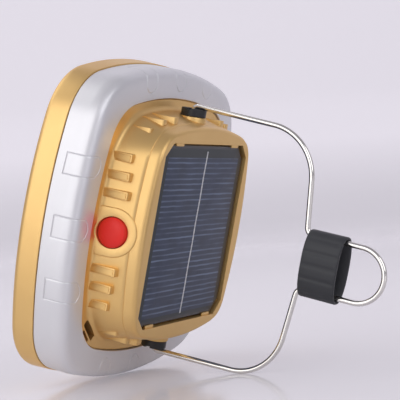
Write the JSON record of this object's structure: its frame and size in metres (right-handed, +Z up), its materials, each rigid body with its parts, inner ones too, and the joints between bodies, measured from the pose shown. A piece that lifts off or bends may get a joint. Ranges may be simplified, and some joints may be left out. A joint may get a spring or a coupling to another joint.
{
  "type": "solar lantern",
  "caption": "Square solar lantern with a lamp face, a rear solar panel, a push button and a swinging wire bail that props or hangs it.",
  "frame": {"origin": "on the floor under the middle of the bounding box, with the lantern leaning on its bail", "axes": "+X towards the push button's side, +Y towards the solar panel and bail, -Y towards the lamp face, +Z up"},
  "size_m": [0.1414, 0.1506, 0.1411],
  "materials": {
    "gold_plastic": "metallic gold, glossy",
    "clear_lens": "clear, polished",
    "seal_rubber": "matt",
    "reflector_mirror": "bright vacuum-coated",
    "led_phosphor": "yellow phosphor",
    "board_white": "white solder mask",
    "bare_aluminium": "bare sheet",
    "screw_steel": "zinc plated",
    "silver_plastic": "metallic silver, glossy",
    "solar_glass": "dark cells under resin",
    "foam_pad": "soft foam",
    "cell_wrap": "shrink wrap",
    "holder_plastic": "moulded black",
    "contact_metal": "nickel plated",
    "board_green": "green solder mask",
    "switch_plastic": "moulded black",
    "plunger_plastic": "moulded",
    "button_red": "red, satin",
    "disc_black": "moulded black",
    "wire_chrome": "bright plated",
    "collar_rubber": "soft fluted sleeve"
  },
  "bodies": {
    "lantern": {"front_bezel": "gold_plastic", "front_lens": "clear_lens", "lens_seal": "seal_rubber", "reflector": "reflector_mirror", "led_chip": "led_phosphor", "led_board": "board_white", "heat_sink": "bare_aluminium", "led_screws": "screw_steel", "ring_shell": "silver_plastic", "rear_housing": "gold_plastic", "case_screws": "screw_steel", "solar_panel": "solar_glass", "panel_pad": "foam_pad", "battery_cell_1": "cell_wrap", "battery_cell_2": "cell_wrap", "battery_holder": "holder_plastic", "battery_contacts": "contact_metal", "control_board": "board_green", "push_switch": "switch_plastic"},
    "button": {"button_cap": "button_red", "switch_plunger": "plunger_plastic"},
    "bail": {"bail_wire": "wire_chrome", "top_disc": "disc_black", "bottom_disc": "disc_black"},
    "collar": {"bail_collar": "collar_rubber"}
  },
  "joints": [
    {"name": "bail_swing", "type": "hinge", "parent": "lantern", "child": "bail", "pos_m": [0, -0.02391, 0.06434], "axis": [0, 0.2614, 0.9652], "range_deg": [-87, 93]},
    {"name": "button_press", "type": "slide", "parent": "lantern", "child": "button", "axis": [-1, 0, 0], "range_m": [0, 0.0012], "stiffness_N_per_m": 600},
    {"name": "collar_slide", "type": "slide", "parent": "bail", "child": "collar", "axis": [0.0523, 0.9639, -0.261], "range_m": [0, 0.005]}
  ]
}
